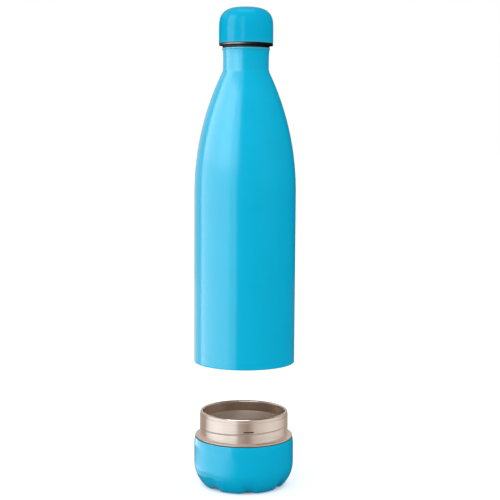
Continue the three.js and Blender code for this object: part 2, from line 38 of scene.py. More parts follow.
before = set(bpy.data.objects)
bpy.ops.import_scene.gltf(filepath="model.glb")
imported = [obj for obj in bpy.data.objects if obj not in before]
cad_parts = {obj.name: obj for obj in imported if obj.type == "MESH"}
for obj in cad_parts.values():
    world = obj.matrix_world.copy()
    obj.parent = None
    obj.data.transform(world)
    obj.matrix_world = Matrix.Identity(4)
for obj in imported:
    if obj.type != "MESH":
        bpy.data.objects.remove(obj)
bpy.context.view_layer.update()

# Fineness of the round forms
AROUND = 240
AROUND_SMALL = 96
AROUND_COLLAR = 360
ROUNDING_STEPS = 6
SIDE_STEP = 8
THREAD_STEP = 0.25
SHARP_ANGLE = math.radians(38)

# Points closer than this are one point
TINY = 1e-6

# The front of the object, in degrees round the axis
FRONT = -90


def low(node):
    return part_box(node)[0][2] / MM


def high(node):
    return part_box(node)[1][2] / MM


def radius_of(node):
    corner_low, corner_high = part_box(node)
    return max(corner_high[0] - corner_low[0], corner_high[1] - corner_low[1]) / 2 / MM


# Camera, placed by how round the edges of the bottle and the foot look in the photograph
IMAGE_WIDTH_PX = 500
FOCAL_PX = 1200
SENSOR_WIDTH = 36
CAMERA_SIDE = 3.9
CAMERA_DISTANCE = 900
CAMERA_HEIGHT = 269.3
CAMERA_PITCH = math.radians(5.69)
CAMERA_ROLL = math.radians(0.37)
CAMERA_CLIP_START = 0.01


def make_camera():
    data = bpy.data.cameras.new("camera")
    data.sensor_width = SENSOR_WIDTH
    data.lens = FOCAL_PX / IMAGE_WIDTH_PX * SENSOR_WIDTH
    data.clip_start = CAMERA_CLIP_START
    camera = bpy.data.objects.new("camera", data)
    place = Matrix.Translation((CAMERA_SIDE * MM, -CAMERA_DISTANCE * MM, CAMERA_HEIGHT * MM))
    pitch = Matrix.Rotation(math.pi / 2 - CAMERA_PITCH, 4, "X")
    roll = Matrix.Rotation(CAMERA_ROLL, 4, "Z")
    camera.matrix_world = place @ pitch @ roll
    bpy.context.scene.collection.objects.link(camera)
    bpy.context.scene.camera = camera


make_camera()


# Profiles: lists of (radius, height) points, with rounded corners

# The most of an edge that the rounding at one of its ends takes
EDGE_SHARE = 0.49


def arc(r, z, radius, start, end, steps):
    """Points on an arc about (r, z), with 0 degrees outwards and 90 degrees up."""
    points = []
    for i in range(steps + 1):
        angle = math.radians(start + (end - start) * i / steps)
        points.append((r + radius * math.cos(angle), z + radius * math.sin(angle)))
    return points


def rounded(corners, closed=True, steps=ROUNDING_STEPS):
    """Replaces each corner (r, z, radius) by an arc; a corner (r, z) stays sharp."""
    points = []
    count = len(corners)
    for i, corner in enumerate(corners):
        r, z = corner[:2]
        radius = corner[2] if len(corner) > 2 else 0
        at_end = not closed and i in (0, count - 1)
        if radius == 0 or at_end:
            points.append((r, z))
            continue
        before, after = corners[i - 1], corners[(i + 1) % count]
        back = (before[0] - r, before[1] - z)
        ahead = (after[0] - r, after[1] - z)
        back_length, ahead_length = math.hypot(*back), math.hypot(*ahead)
        back = (back[0] / back_length, back[1] / back_length)
        ahead = (ahead[0] / ahead_length, ahead[1] / ahead_length)
        half = math.acos(max(-1, min(1, back[0] * ahead[0] + back[1] * ahead[1]))) / 2
        reach = min(radius / math.tan(half), EDGE_SHARE * back_length, EDGE_SHARE * ahead_length)
        size = reach * math.tan(half)
        middle = (back[0] + ahead[0], back[1] + ahead[1])
        length = math.hypot(*middle)
        centre_distance = size / math.sin(half)
        centre = (r + middle[0] / length * centre_distance, z + middle[1] / length * centre_distance)
        start = math.atan2(z + back[1] * reach - centre[1], r + back[0] * reach - centre[0])
        end = math.atan2(z + ahead[1] * reach - centre[1], r + ahead[0] * reach - centre[0])
        sweep = (end - start + math.pi) % (2 * math.pi) - math.pi
        for k in range(steps + 1):
            angle = start + sweep * k / steps
            points.append((centre[0] + size * math.cos(angle), centre[1] + size * math.sin(angle)))
    return points


def dense(start, end, step):
    """Points on a straight line from start to end, about step apart, with both ends."""
    count = max(1, round(math.dist(start, end) / step))
    return [
        (start[0] + (end[0] - start[0]) * i / count, start[1] + (end[1] - start[1]) * i / count)
        for i in range(count + 1)
    ]


# Meshes

def new_piece(name, vertices, faces, materials, face_materials, body, replaces):
    mesh = bpy.data.meshes.new(name)
    mesh.from_pydata([(x * MM, y * MM, z * MM) for x, y, z in vertices], [], faces)
    for material in materials:
        mesh.materials.append(material)
    for polygon, index in zip(mesh.polygons, face_materials):
        polygon.material_index = index
    mesh.validate()
    mesh.shade_smooth()
    mesh.set_sharp_from_angle(angle=SHARP_ANGLE)
    piece = bpy.data.objects.new(name, mesh)
    bpy.context.scene.collection.objects.link(piece)
    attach(piece, body)
    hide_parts(*replaces)
    return piece


def revolve(name, sections, body, replaces, around=AROUND, relief=None, markings=()):
    """Turns a profile round the axis. sections are (points, material) in order round the solid,
    with the solid on the left of the way they run; a profile that starts on the axis ends there.
    relief(angle, r, z) gives how far a point stands out of its wall. Each of markings is a material
    and a test(angle, r, z) of the faces that have it."""
    profile = []
    materials = []
    for points, material in sections:
        if material not in materials:
            materials.append(material)
        for point in points:
            if profile and math.dist(profile[-1][0], point) < TINY:
                profile[-1] = (point, materials.index(material))
            else:
                profile.append((point, materials.index(material)))
    materials += [material for material, _ in markings]
    open_ended = profile[0][0][0] < TINY
    if not open_ended and math.dist(profile[0][0], profile[-1][0]) < TINY:
        profile.pop()
    count = len(profile)
    vertices = []
    rows = []
    for (r, z), _ in profile:
        if r < TINY:
            vertices.append((0, 0, z))
            rows.append([len(vertices) - 1] * around)
            continue
        row = []
        for s in range(around):
            turn = 2 * math.pi * s / around + math.radians(FRONT)
            reach = r + (relief(math.degrees(turn), r, z) if relief else 0)
            row.append(len(vertices))
            vertices.append((reach * math.cos(turn), reach * math.sin(turn), z))
        rows.append(row)
    faces = []
    face_materials = []
    for k in range(count - 1 if open_ended else count):
        lower, upper = rows[k], rows[(k + 1) % count]
        (r, z), index = profile[k]
        middle = (z + profile[(k + 1) % count][0][1]) / 2
        for s in range(around):
            t = (s + 1) % around
            corners = [lower[s], lower[t], upper[t], upper[s]]
            face = [v for i, v in enumerate(corners) if v != corners[i - 1]]
            if len(face) > 2:
                angle = 360 * (s + 0.5) / around + FRONT
                marks = [material for material, test in markings if test(angle, r, middle)]
                faces.append(face)
                face_materials.append(materials.index(marks[0]) if marks else index)
    return new_piece(name, vertices, faces, materials, face_materials, body, replaces)


# Materials: how fine their noise is, how far it is squeezed along the axis for turned lines, how far
# it shades the colour, and how high its bumps are in mm
CLOUD_SCALE = 45
CLOUD_SHADE = 0.96
PEEL_SCALE = 900
PEEL_BUMP = 0.010
GRIT_SCALE = 2600
GRIT_BUMP = 0.003
LINE_SCALE = 60
LINE_SQUEEZE = (1, 1, 110)
BAND_SCALE = 25
BAND_SQUEEZE = (1, 1, 24)
GRAIN_SCALE = 1200
GRAIN_SHADE = 0.8

# How far the roughness of paint, steel and plastic falls and rises
PAINT_SPREAD = (0.03, 0.04)
STEEL_SPREAD = (0.05, 0.07)
PLASTIC_SPREAD = (0.06, 0.06)

# Most of a noise lies between these values
NOISE_LOW = 0.3
NOISE_HIGH = 0.7


def new_material(name):
    material = bpy.data.materials.new(name)
    material.use_nodes = True
    tree = material.node_tree
    return material, tree, tree.nodes["Principled BSDF"]


def stretched_noise(tree, scale, detail=3, squeeze=(1, 1, 1)):
    """Noise in the piece's own space, squeezed along each axis."""
    place = tree.nodes.new("ShaderNodeTexCoord")
    mapping = tree.nodes.new("ShaderNodeMapping")
    mapping.inputs["Scale"].default_value = squeeze
    noise = tree.nodes.new("ShaderNodeTexNoise")
    noise.inputs["Scale"].default_value = scale
    noise.inputs["Detail"].default_value = detail
    tree.links.new(place.outputs["Object"], mapping.inputs["Vector"])
    tree.links.new(mapping.outputs["Vector"], noise.inputs["Vector"])
    return noise.outputs["Fac"]


def ranged(tree, value, to_low, to_high, from_low=NOISE_LOW, from_high=NOISE_HIGH):
    node = tree.nodes.new("ShaderNodeMapRange")
    node.inputs["From Min"].default_value = from_low
    node.inputs["From Max"].default_value = from_high
    node.inputs["To Min"].default_value = to_low
    node.inputs["To Max"].default_value = to_high
    tree.links.new(value, node.inputs["Value"])
    return node.outputs["Result"]


def mixed(tree, share, first, second):
    node = tree.nodes.new("ShaderNodeMix")
    node.data_type = "RGBA"
    node.inputs["A"].default_value = (*first, 1)
    node.inputs["B"].default_value = (*second, 1)
    tree.links.new(share, node.inputs["Factor"])
    return node.outputs["Result"]


def tinted(tree, shader, noise, colour, shade):
    """The colour of a surface, which the noise blends from colour to shade."""
    tree.links.new(mixed(tree, ranged(tree, noise, 0, 1), colour, shade), shader.inputs["Base Color"])


def roughened(tree, shader, noise, roughness, spread):
    tree.links.new(
        ranged(tree, noise, roughness - spread[0], roughness + spread[1]), shader.inputs["Roughness"])


def bumped(tree, shader, heights):
    """Bump from (height, distance in mm) pairs, the coarsest first."""
    normal = None
    for height, distance in heights:
        bump = tree.nodes.new("ShaderNodeBump")
        bump.inputs["Strength"].default_value = 1
        bump.inputs["Distance"].default_value = distance * MM
        tree.links.new(height, bump.inputs["Height"])
        if normal:
            tree.links.new(normal, bump.inputs["Normal"])
        normal = bump.outputs["Normal"]
    tree.links.new(normal, shader.inputs["Normal"])


def paint_material(name, colour, roughness, gloss):
    """Powder-coated paint: a fine orange peel and a faint cloudiness."""
    material, tree, shader = new_material(name)
    cloud = stretched_noise(tree, CLOUD_SCALE, detail=4)
    tinted(tree, shader, cloud, colour, [CLOUD_SHADE * c for c in colour])
    peel = stretched_noise(tree, PEEL_SCALE)
    grit = stretched_noise(tree, GRIT_SCALE, detail=2)
    roughened(tree, shader, peel, roughness, PAINT_SPREAD)
    shader.inputs["Specular IOR Level"].default_value = gloss
    bumped(tree, shader, [(peel, PEEL_BUMP), (grit, GRIT_BUMP)])
    return material


def turned_steel(name, colour, shade, roughness, streak=0.008):
    """Steel with fine lines round the axis, from turning, and broader bands of gloss."""
    material, tree, shader = new_material(name)
    shader.inputs["Metallic"].default_value = 1
    fine = stretched_noise(tree, LINE_SCALE, squeeze=LINE_SQUEEZE)
    broad = stretched_noise(tree, BAND_SCALE, squeeze=BAND_SQUEEZE)
    tinted(tree, shader, fine, colour, shade)
    roughened(tree, shader, broad, roughness, STEEL_SPREAD)
    bumped(tree, shader, [(broad, streak * 2), (fine, streak)])
    return material


def moulded(name, colour, roughness, grain=0.006):
    """Moulded plastic or silicone with a fine spark-eroded grain."""
    material, tree, shader = new_material(name)
    coarse = stretched_noise(tree, GRAIN_SCALE)
    tinted(tree, shader, coarse, colour, [GRAIN_SHADE * c for c in colour])
    roughened(tree, shader, coarse, roughness, PLASTIC_SPREAD)
    bumped(tree, shader, [(coarse, grain)])
    return material


body_paint = paint_material("body_paint", (0.0, 0.47, 0.715), 0.17, 0.3)
cap_paint = paint_material("cap_paint", (0.0, 0.445, 0.69), 0.14, 0.2)
# Paint a little paler than the body's, for the cap's lower edge and the neck's lip: a painted highlight
# along these rounded edges
edge_highlight_paint = paint_material("edge_highlight_paint", (0.07, 0.46, 0.60), 0.3, 0.4)
collar_steel = turned_steel("collar_steel", (0.90, 0.80, 0.73), (0.85, 0.75, 0.68), 0.13, streak=0.004)
cup_steel = turned_steel("cup_steel", (0.86, 0.77, 0.69), (0.80, 0.71, 0.63), 0.5)
inner_steel = turned_steel("inner_steel", (0.66, 0.60, 0.55), (0.58, 0.53, 0.48), 0.34)
dull_steel = turned_steel("dull_steel", (0.52, 0.48, 0.45), (0.45, 0.42, 0.39), 0.45)
# Painted shade: steel darkened for the shadow line under the collar's ridge
ridge_shade_steel = turned_steel("ridge_shade_steel", (0.66, 0.57, 0.50), (0.60, 0.52, 0.45), 0.2)
# Painted shade: nearly black steel for the shadow at the end of the collar's thread
thread_end_shade_steel = turned_steel("thread_end_shade_steel", (0.13, 0.10, 0.08), (0.10, 0.08, 0.06), 0.45)
# Painted highlight: light grey metal for the bright line along the stopper flange
flange_highlight = turned_steel("flange_highlight", (0.24, 0.25, 0.24), (0.20, 0.21, 0.20), 0.4)
black_plastic = moulded("black_plastic", (0.012, 0.014, 0.016), 0.42)
black_silicone = moulded("black_silicone", (0.008, 0.009, 0.010), 0.6)
grey_silicone = moulded("grey_silicone", (0.05, 0.055, 0.06), 0.65)
white_plastic = moulded("white_plastic", (0.78, 0.77, 0.74), 0.45)
foam = moulded("foam", (0.85, 0.82, 0.74), 0.95, grain=0.08)
getter_metal = moulded("getter_metal", (0.10, 0.095, 0.09), 0.7, grain=0.03)


# Bottle
skirt_edge = low("bottle_shell")
body_radius = radius_of("bottle_shell")
neck_top = high("bottle_shell")
lip_top = high("liner_neck")
SHELL_WALL = 0.6
SHOULDER_START = 128
SHOULDER_RADIUS = 205
SHOULDER_STEPS = 56
SKIRT_EDGE_HEIGHT = 2
NECK_RADIUS = 17
NECK_FILLET = 9
NECK_FILLET_STEPS = 14
NECK_EDGE = 0.15
FLARE = 0.4
FLARE_LENGTH = 6
FLARE_CURVE = 2.2
FLARE_STEPS = 12
NECK_GAP = 2.3
VACUUM_GAP = 4
LINER_WALL = 0.5
LINER_FLOOR_ROUND = 4
LINER_FLOOR_STEPS = 14


def bottle_side(radius, shoulder_radius, neck_radius, fillet):
    """The long round shoulder from the top of the straight side, and the hollow curve above it."""
    shoulder_centre = radius - shoulder_radius
    across = neck_radius + fillet - shoulder_centre
    climb = math.sqrt((shoulder_radius + fillet) ** 2 - across ** 2)
    meet = math.degrees(math.atan2(climb, across))
    start = skirt_edge + SHOULDER_START
    return (
        arc(shoulder_centre, start, shoulder_radius, 0, meet, SHOULDER_STEPS)
        + arc(neck_radius + fillet, start + climb, fillet, 180 + meet, 180, NECK_FILLET_STEPS)[1:]
    )


def flare(radius, top):
    """The neck's last stretch, which opens a little towards its top."""
    points = []
    for i in range(FLARE_STEPS + 1):
        t = i / FLARE_STEPS
        points.append((radius + FLARE * t ** FLARE_CURVE, top - FLARE_LENGTH * (1 - t)))
    return points


def make_bottle_shell():
    inner = body_radius - SHELL_WALL
    edge_top = skirt_edge + SKIRT_EDGE_HEIGHT
    outside = (
        rounded([(inner, skirt_edge, 0.2), (body_radius, skirt_edge, 0.3), (body_radius, edge_top)],
                closed=False)
        + dense((body_radius, edge_top), (body_radius, skirt_edge + SHOULDER_START), SIDE_STEP)[1:-1]
        + bottle_side(body_radius, SHOULDER_RADIUS, NECK_RADIUS, NECK_FILLET)
        + flare(NECK_RADIUS, neck_top - NECK_EDGE)
    )
    inside = (
        [(NECK_RADIUS + FLARE - NECK_EDGE, neck_top), (NECK_RADIUS + FLARE - SHELL_WALL, neck_top)]
        + flare(NECK_RADIUS - SHELL_WALL, neck_top)[:-1][::-1]
        + bottle_side(inner, SHOULDER_RADIUS - SHELL_WALL, NECK_RADIUS - SHELL_WALL,
                      NECK_FILLET + SHELL_WALL)[::-1]
        + [(inner, skirt_edge)]
    )
    revolve("bottle_outer", [(outside, body_paint), (inside, inner_steel)],
            "bottle", ["bottle_shell"])


# Neck thread, shared by the inner bottle and the stopper
NECK_THREAD_LEAD = 4
NECK_THREAD_TURN = 432
NECK_THREAD_DROP = 8.5
NECK_THREAD_REACH = 16
NECK_RIDGE_PROUD = 0.9
NECK_RIDGE_HALF_WIDTH = 0.85
STOPPER_RIDGE_PROUD = 1.0
PLAIN_ABOVE_THREAD = 2
LIP_ROUND = 0.7
LIP_LOWER_ROUND = 0.45
MOUTH_ROUND = 0.6
MOUTH_DEPTH = 3

# A ridge's cross-section, and the degrees over which it rises at its ends
RIDGE_POWER = 1.5
RIDGE_FADE = 24


# How near a point is to a wall that it lies on
ON_WALL = 0.02


def on_wall(r, wall):
    return abs(r - wall) < ON_WALL


def ridge(angle, z, start, span, height, lead, width):
    """How much of a thread ridge, from 0 to 1, a wall has at an angle and a height. The ridge
    climbs from height at start degrees."""
    most = 0
    turn = (angle - start) % 360
    while turn < span:
        off = abs(z - height - lead * turn / 360) / width
        if off < 1:
            ends = min(turn, span - turn) / RIDGE_FADE
            most = max(most, (1 - off ** 2) ** RIDGE_POWER * min(1, max(0, ends)))
        turn += 360
    return most


def neck_ridge(angle, z, drop):
    climb = NECK_THREAD_LEAD * NECK_THREAD_TURN / 360
    return ridge(angle, z, -NECK_THREAD_TURN, NECK_THREAD_TURN,
                 lip_top - NECK_THREAD_DROP - drop - climb, NECK_THREAD_LEAD, NECK_RIDGE_HALF_WIDTH)


def make_liner():
    outer = body_radius - VACUUM_GAP
    neck = NECK_RADIUS - NECK_GAP
    bore = neck - LINER_WALL
    lip = radius_of("liner_neck")
    bottom = low("bottle_liner")
    mouth_low = lip_top - MOUTH_DEPTH
    thread_low = lip_top - NECK_THREAD_REACH
    outside = (
        [(outer - LINER_WALL, bottom), (outer, bottom)]
        + bottle_side(outer, SHOULDER_RADIUS - VACUUM_GAP, neck, NECK_FILLET + VACUUM_GAP)
        + [(neck, neck_top)]
    )
    # The lip's outside and top take the paler edge paint, a painted highlight
    rim = rounded([(neck, neck_top), (lip, neck_top, LIP_LOWER_ROUND), (lip, lip_top, LIP_ROUND),
                   (bore + MOUTH_ROUND, lip_top)], closed=False)
    inside = (
        rounded([(bore + MOUTH_ROUND, lip_top), (bore, lip_top, MOUTH_ROUND), (bore, mouth_low)],
                closed=False)
        + dense((bore, mouth_low), (bore, thread_low), THREAD_STEP)
        + bottle_side(outer - LINER_WALL, SHOULDER_RADIUS - VACUUM_GAP - LINER_WALL, bore,
                      NECK_FILLET + VACUUM_GAP + LINER_WALL)[::-1]
    )

    def relief(angle, r, z):
        if not on_wall(r, bore) or not thread_low <= z <= lip_top - PLAIN_ABOVE_THREAD:
            return 0
        return -NECK_RIDGE_PROUD * neck_ridge(angle, z, 0)

    revolve("inner_bottle", [(outside, inner_steel), (rim, edge_highlight_paint), (inside, inner_steel)],
            "bottle", ["bottle_liner", "liner_neck"], relief=relief)


def make_liner_floor():
    bottom, top = low("liner_floor"), high("liner_floor")
    radius = radius_of("liner_floor")
    inner = radius - LINER_WALL
    revolve("inner_bottle_floor", [(rounded([
        (0, bottom), (radius, bottom, LINER_FLOOR_ROUND), (radius, top, 0.2), (inner, top, 0.2),
        (inner, bottom + LINER_WALL, LINER_FLOOR_ROUND - LINER_WALL), (0, bottom + LINER_WALL),
    ], closed=False, steps=LINER_FLOOR_STEPS), inner_steel)], "bottle", ["liner_floor"])


# Recess in the foot of the bottle
RECESS_RADIUS = 30.6
BULKHEAD_WALL = 0.6
BULKHEAD_ROUND = 3.5
DIMPLE_RADIUS = 4
DIMPLE_DEPTH = 1.2
PUMP_HOLE_RADIUS = 1.2
COVER_RIM = 3
COVER_SLOPE = 0.6
COVER_DISH = 0.25
GASKET_CLEARANCE = 0.3
GROOVE_OFFSET = 0.9
GROOVE_HALF_WIDTH = 1.3
GROOVE_SLOPE = 0.6
GROOVE_DEPTH = 0.5


def make_bulkhead():
    bottom = low("vacuum_bulkhead")
    rim = radius_of("vacuum_bulkhead")
    dimple_top = high("vacuum_bulkhead")
    top = dimple_top - DIMPLE_DEPTH
    ceiling = top - BULKHEAD_WALL
    wall = RECESS_RADIUS + BULKHEAD_WALL
    dimple = dimple_top - BULKHEAD_WALL
    revolve("recess_cup", [(rounded([
        (RECESS_RADIUS, bottom, 0.2), (rim, bottom, 0.2), (rim, bottom + BULKHEAD_WALL, 0.2),
        (wall, bottom + BULKHEAD_WALL, 1.0), (wall, top, BULKHEAD_ROUND + BULKHEAD_WALL),
        (DIMPLE_RADIUS + BULKHEAD_WALL, top), (DIMPLE_RADIUS, dimple_top), (PUMP_HOLE_RADIUS, dimple_top),
        (PUMP_HOLE_RADIUS, dimple), (DIMPLE_RADIUS - BULKHEAD_WALL, dimple), (DIMPLE_RADIUS, ceiling),
        (RECESS_RADIUS, ceiling, BULKHEAD_ROUND),
    ]), dull_steel)], "bottle", ["vacuum_bulkhead"])


def make_ceiling_cover():
    bottom, top = low("ceiling_cover"), high("ceiling_cover")
    radius = radius_of("ceiling_cover")
    dish = bottom + COVER_DISH
    revolve("recess_ceiling", [(rounded([
        (0, dish), (radius - COVER_RIM, dish, 0.8), (radius - COVER_RIM + COVER_SLOPE, bottom, 0.8),
        (radius, bottom, 0.3), (radius, top, 0.2), (0, top),
    ], closed=False), cup_steel)], "bottle", ["ceiling_cover"])


def make_gasket():
    bottom, top = low("stash_gasket"), high("stash_gasket")
    outer = radius_of("stash_gasket")
    inner = RECESS_RADIUS + GASKET_CLEARANCE
    groove = (inner + outer) / 2 - GROOVE_OFFSET
    groove_half = GROOVE_HALF_WIDTH - GROOVE_SLOPE
    groove_top = bottom + GROOVE_DEPTH
    revolve("recess_gasket", [(rounded([
        (inner, bottom, 0.6), (groove - GROOVE_HALF_WIDTH, bottom, 0.3),
        (groove - groove_half, groove_top, 0.3), (groove + groove_half, groove_top, 0.3),
        (groove + GROOVE_HALF_WIDTH, bottom, 0.3),
        (outer, bottom, 0.4), (outer, top, 0.4), (inner, top, 0.4),
    ]), grey_silicone)], "gasket", ["stash_gasket"])


# Two-start thread between the foot's collar and the bottle's skirt
LIFT_HEIGHT = 57
LIFT_TURNS = 9
THREAD_LEAD = LIFT_HEIGHT / LIFT_TURNS
THREAD_STARTS = 2
THREAD_DROP = 10.7
RIDGE_PROUD = 0.7
RIDGE_HALF_WIDTH = 1.5
COLLAR_RIDGE_SPAN = 198
RING_RIDGE_START = -180
RING_RIDGE_SPAN = 180
CLEARANCE = 0.4
RING_TOP_PLAIN = 0.3
RING_LEAD_IN = 0.5
RING_LEAD_IN_HEIGHT = 1.1
RING_STEP = 0.2

rim_height = high("stash_cup")
collar_top = high("base_collar")
ledge_bottom = high("base_edge_ring")
COLLAR_RADIUS = 33.5
COLLAR_WALL = 0.6
LEDGE_HEIGHT = 1
LEDGE_ROUND = 0.3
LEDGE_FILLET = 0.4
LEDGE_REACH = 1
SPIGOT_BEVEL = 0.3
ledge_top = ledge_bottom + LEDGE_HEIGHT


def foot_ridges(angle, z, start, span, height):
    """How much of the two-start thread, from 0 to 1, a wall has at an angle and a height."""
    return max(
        ridge(angle, z, start + 360 / THREAD_STARTS * n, span, height, THREAD_LEAD, RIDGE_HALF_WIDTH)
        for n in range(THREAD_STARTS))


def make_thread_ring():
    bottom, top = low("thread_ring"), high("thread_ring")
    outer = radius_of("thread_ring")
    root = COLLAR_RADIUS + RIDGE_PROUD + CLEARANCE
    wall_low, wall_high = bottom + RING_LEAD_IN_HEIGHT, top - RING_TOP_PLAIN
    ridge_low = top - THREAD_DROP - THREAD_LEAD / THREAD_STARTS / 2 - THREAD_LEAD / 4
    wall = dense((root, wall_high), (root, wall_low), RING_STEP)
    edge = rounded([(root, wall_low), (root + RING_LEAD_IN, bottom, 0.2), (outer, bottom, 0.3),
                    (outer, top, 0.3), (root, top, 0.15), (root, wall_high)], closed=False)

    def relief(angle, r, z):
        if not on_wall(r, root):
            return 0
        return -RIDGE_PROUD * foot_ridges(angle, z, RING_RIDGE_START, RING_RIDGE_SPAN, ridge_low)

    revolve("skirt_thread", [(wall + edge, black_plastic)],
            "bottle", ["thread_ring"], relief=relief)


# Cap
CAP_SIDE_HEIGHT = 10.3
CAP_DOME_POWER = 3.1
CAP_WALL = 0.6
CAP_EDGE_HEIGHT = 0.6
CAP_INNER_ROUND = 0.2
CAP_DOME_STEPS = 40
FLANGE_THICKNESS = 1.4
FLANGE_BAND = 0.3
BAND_DEPTH = 0.15
BAND_BEVEL = 0.1
STOPPER_RADIUS = 12.9
STOPPER_WALL = 1.5
STOPPER_END_HEIGHT = 3


def dome(radius, start, height):
    """A squarish dome from its edge up to its middle."""
    points = []
    for i in range(CAP_DOME_STEPS + 1):
        angle = math.pi / 2 * i / CAP_DOME_STEPS
        r = 0 if i == CAP_DOME_STEPS else radius * math.cos(angle) ** (2 / CAP_DOME_POWER)
        points.append((r, start + height * math.sin(angle) ** (2 / CAP_DOME_POWER)))
    return points


def make_cap():
    radius = radius_of("cap_shell")
    bottom, top = low("cap_shell"), high("cap_shell")
    inner = radius - CAP_WALL
    start = bottom + CAP_SIDE_HEIGHT
    edge_top = bottom + CAP_EDGE_HEIGHT
    edge = rounded([(inner, bottom, CAP_INNER_ROUND), (radius, bottom, 0.35), (radius, edge_top)],
                   closed=False)
    outside = [(radius, edge_top)] + dome(radius, start, top - start)
    inside = dome(inner, start, top - start - CAP_WALL)[::-1] + [(inner, bottom + CAP_INNER_ROUND)]
    revolve("cap_outer", [(inside, inner_steel), (edge, edge_highlight_paint), (outside, cap_paint)],
            "cap", ["cap_shell"])


def make_stopper():
    bottom, flange_top = low("stopper_body"), high("stopper_body")
    flange = radius_of("stopper_body")
    flange_bottom = flange_top - FLANGE_THICKNESS
    plug = STOPPER_RADIUS
    hollow = plug - STOPPER_WALL
    band_low = (flange_bottom + flange_top) / 2 - FLANGE_BAND
    band_high = band_low + 2 * FLANGE_BAND
    end_top = bottom + STOPPER_END_HEIGHT
    thread_top = flange_bottom - PLAIN_ABOVE_THREAD
    under = (
        rounded([(0, bottom), (plug, bottom, 0.9), (plug, end_top)], closed=False)
        + dense((plug, end_top), (plug, thread_top), THREAD_STEP)[1:]
        + rounded([(plug, thread_top), (plug, flange_bottom, 0.4), (flange, flange_bottom, 0.25),
                   (flange, band_low)], closed=False)[1:]
    )
    # The groove round the flange is coloured light grey metal: a painted highlight along the flange's
    # edge
    band = [(flange, band_low), (flange - BAND_DEPTH, band_low + BAND_BEVEL),
            (flange - BAND_DEPTH, band_high - BAND_BEVEL), (flange, band_high)]
    upper = rounded([
        (flange, band_high), (flange, flange_top, 0.25), (hollow, flange_top, 0.2),
        (hollow, bottom + STOPPER_WALL, 0.5), (0, bottom + STOPPER_WALL)], closed=False)

    def relief(angle, r, z):
        if not on_wall(r, plug) or z > thread_top:
            return 0
        return STOPPER_RIDGE_PROUD * neck_ridge(angle, z, NECK_THREAD_LEAD / 2)

    revolve("stopper", [(under, black_plastic), (band, flange_highlight), (upper, black_plastic)],
            "cap", ["stopper_body"], relief=relief)


def make_stopper_plate():
    bottom, top = low("stopper_plate"), high("stopper_plate")
    radius = radius_of("stopper_plate")
    revolve("stopper_disc", [(rounded([
        (0, bottom), (radius, bottom, 0.35), (radius, top, 0.1), (0, top),
    ], closed=False), inner_steel)], "cap", ["stopper_plate"], around=AROUND_SMALL)


def make_cap_seal():
    bottom, top = low("cap_seal"), high("cap_seal")
    outer = radius_of("cap_seal")
    inner = STOPPER_RADIUS + CLEARANCE
    revolve("seal_ring", [(rounded([
        (inner, bottom, 0.3), (outer, bottom, 0.45), (outer, top, 0.45), (inner, top, 0.3),
    ]), black_silicone)], "seal", ["cap_seal"])


# Foot
base_height = high("base_shell")
base_radius = radius_of("base_shell")
BASE_WALL = 0.7
BASE_DRAW_IN = 0.6
BASE_DRAW_HEIGHT = 6
BASE_DRAW_CURVE = 1.6
BASE_DRAW_STEPS = 8
BASE_SIDE_STEP = 2
TOP_EDGE_ROUND = 0.2
TOP_EDGE_STEPS = 4
BASE_CORNER_HEIGHT = 19
FOOT_COUNT = 7
FIRST_FOOT_ANGLE = -18
FOOT_OUTER_RADIUS = 29.9
FOOT_INNER_RADIUS = 26.5
FOOT_CURVE = 2.4
FOOT_BLEND = 0.4
VALLEY_RADIUS = 28.7
VALLEY_HEIGHT = 1.3
VALLEY_CURVE = 2.4
DOME_HEIGHT = 3.4
DOME_CURVE = 2.5
JOINT_OVERLAP = 0.05
JOINT_INSET = 0.1

# Steps round one foot, and down its wall and in under it, outside and inside
LOBE_STEPS = 40
OUTER_STEPS = (40, 24)
INNER_STEPS = (16, 8)
PAD_STEPS = 8
SMOOTH_REACH = 5
SMOOTH_PASSES = 6
base_top_radius = base_radius - BASE_DRAW_IN


def lerp(a, b, t):
    return a + (b - a) * t


def foot_share(angle):
    """1 over each foot, 0 midway between feet."""
    wave = 0.5 + 0.5 * math.cos(FOOT_COUNT * angle)
    t = min(1, wave / FOOT_BLEND)
    return t * t * (3 - 2 * t)


def foot_meridian(share, inset, wall_steps, dome_steps):
    """Points down one side of the foot's wall, across its pad and in under it to the middle. The
    inside is inset by the wall. The corners are smoothed, and the pad stays on the floor."""
    radius = base_radius - inset
    foot_bottom, valley_bottom = inset, inset + VALLEY_HEIGHT
    bottom = lerp(valley_bottom, foot_bottom, share)
    valley_drop, foot_drop = radius - VALLEY_RADIUS, radius - FOOT_OUTER_RADIUS
    points = []
    for i in range(wall_steps + 1):
        t = i / wall_steps
        drop = lerp(valley_drop * t ** VALLEY_CURVE, foot_drop * t ** FOOT_CURVE, share)
        points.append((radius - drop, lerp(BASE_CORNER_HEIGHT, bottom, t)))
    pad_edge = points[-1][0]
    for i in range(1, PAD_STEPS):
        points.append((lerp(pad_edge, FOOT_INNER_RADIUS, i / PAD_STEPS), bottom))
    for i in range(dome_steps + 1):
        t = 1 - i / dome_steps
        z = lerp(inset + DOME_HEIGHT, bottom, t ** DOME_CURVE)
        points.append((FOOT_INNER_RADIUS * t, z))
    smoothed = range(wall_steps - SMOOTH_REACH, wall_steps + PAD_STEPS + SMOOTH_REACH // 2)
    for _ in range(SMOOTH_PASSES):
        for k in smoothed:
            (r0, z0), (r1, z1), (r2, z2) = points[k - 1:k + 2]
            points[k] = ((r0 + 2 * r1 + r2) / 4, (z0 + 2 * z1 + z2) / 4)
    lift = min(z for _, z in points) - bottom
    for k in smoothed:
        points[k] = (points[k][0], points[k][1] - lift)
    return points


def draw_in(radius):
    """The wall's last stretch below its top edge, where the shell closes in a little."""
    points = []
    for i in range(BASE_DRAW_STEPS + 1):
        t = i / BASE_DRAW_STEPS
        drawn = BASE_DRAW_IN * (1 - t) ** BASE_DRAW_CURVE
        points.append((radius - drawn, base_height - BASE_DRAW_HEIGHT * t))
    return points


